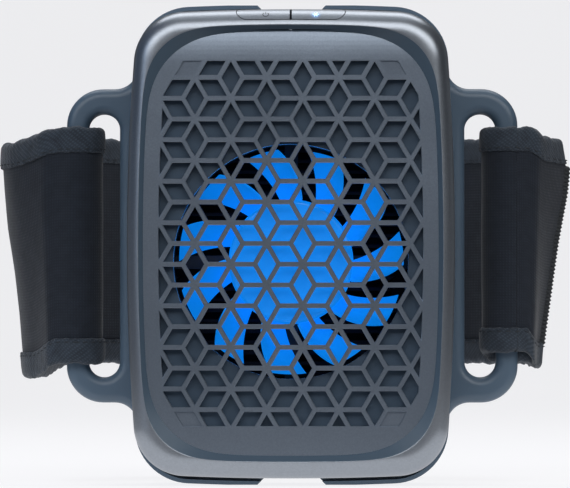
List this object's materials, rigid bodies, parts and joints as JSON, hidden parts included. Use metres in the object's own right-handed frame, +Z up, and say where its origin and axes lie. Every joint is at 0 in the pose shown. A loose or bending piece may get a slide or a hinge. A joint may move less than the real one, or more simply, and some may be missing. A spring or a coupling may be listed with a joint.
{
  "type": "hot cold therapy machine",
  "caption": "Limb-worn hot and cold therapy unit with a fan behind a rhombic grille, a metal treatment plate on its back, two press buttons and a fabric strap through side loops.",
  "frame": {"origin": "middle of the treatment plate's contact face", "axes": "+Y out of the treatment plate towards the limb, the grille faces -Y, +Z up with the buttons at the top, +X to the right seen from the front"},
  "size_m": [0.1374, 0.1296, 0.1164],
  "materials": {
    "shell_gunmetal": "satin gunmetal paint on moulded plastic",
    "grille_gunmetal": "satin gunmetal paint on moulded plastic",
    "baffle_blue_grey": "dark blue-grey moulded plastic",
    "light_diffuser": "translucent diffuser, lit blue",
    "fan_frame_black": "black moulded plastic",
    "fan_blue": "translucent blue, lit from behind",
    "magnet": "bonded ferrite",
    "steel": "satin steel",
    "black_steel": "black oxide",
    "stator_iron": "laminated core",
    "sink_aluminium": "black anodised",
    "module_ceramic": "alumina",
    "foam": "closed-cell foam",
    "chip_black": "moulded epoxy",
    "plate_aluminium": "bead-blasted and anodised",
    "gasket_rubber": "silicone",
    "housing_plastic": "fine-textured moulded plastic",
    "frame_blue_grey": "soft-touch moulded plastic",
    "button_plastic": "satin, with a plain symbol",
    "board": "solder mask",
    "battery_wrap": "shrink wrap on a steel can",
    "cradle_plastic": "black moulded plastic",
    "strap_fabric": "fine elastic knit",
    "binding_fabric": "ribbed binding, stitched",
    "hook_tape": "hook tape"
  },
  "bodies": {
    "unit": {"front_bezel": "shell_gunmetal", "grille_panel": "grille_gunmetal", "fan_baffle": "baffle_blue_grey", "light_ring": "light_diffuser", "fan_frame": "fan_frame_black", "fan_bearings": "steel", "fan_stator": "stator_iron", "heat_sink": "sink_aluminium", "thermoelectric_module": "module_ceramic", "insulation_frame": "foam", "temperature_sensor": "chip_black", "treatment_plate": "plate_aluminium", "plate_gasket": "gasket_rubber", "rear_housing": "housing_plastic", "strap_frame": "frame_blue_grey", "button_board": "board", "button_switches": "chip_black", "main_board": "board", "board_chips": "chip_black", "charge_board": "board", "usb_c_port": "steel", "battery_cells": "battery_wrap", "battery_cradles": "cradle_plastic", "strap_band": "strap_fabric", "strap_bindings": "binding_fabric", "housing_screws": "steel", "fan_screws": "black_steel", "heat_sink_screws": "black_steel"},
    "fan": {"fan_rotor": "fan_blue", "fan_magnet_ring": "magnet", "fan_shaft": "steel"},
    "power_key": {"power_button": "button_plastic"},
    "mode_key": {"mode_button": "button_plastic"},
    "free_end": {"strap_flap": "strap_fabric", "flap_binding": "binding_fabric", "hook_patch": "hook_tape"}
  },
  "joints": [
    {"name": "fan_spin", "type": "hinge", "parent": "unit", "child": "fan", "pos_m": [0, -0.033, -0.0043], "axis": [0, 1, 0], "continuous": true},
    {"name": "power_press", "type": "slide", "parent": "unit", "child": "power_key", "axis": [0, 0.5, -0.866], "range_m": [0, 0.0004], "stiffness_N_per_m": 2500},
    {"name": "mode_press", "type": "slide", "parent": "unit", "child": "mode_key", "axis": [0, 0.5, -0.866], "range_m": [0, 0.0004], "stiffness_N_per_m": 2500},
    {"name": "free_end_peel", "type": "hinge", "parent": "unit", "child": "free_end", "pos_m": [0.05513, -0.0171, 0], "axis": [0, 0, -1], "range_deg": [0, 120]}
  ]
}
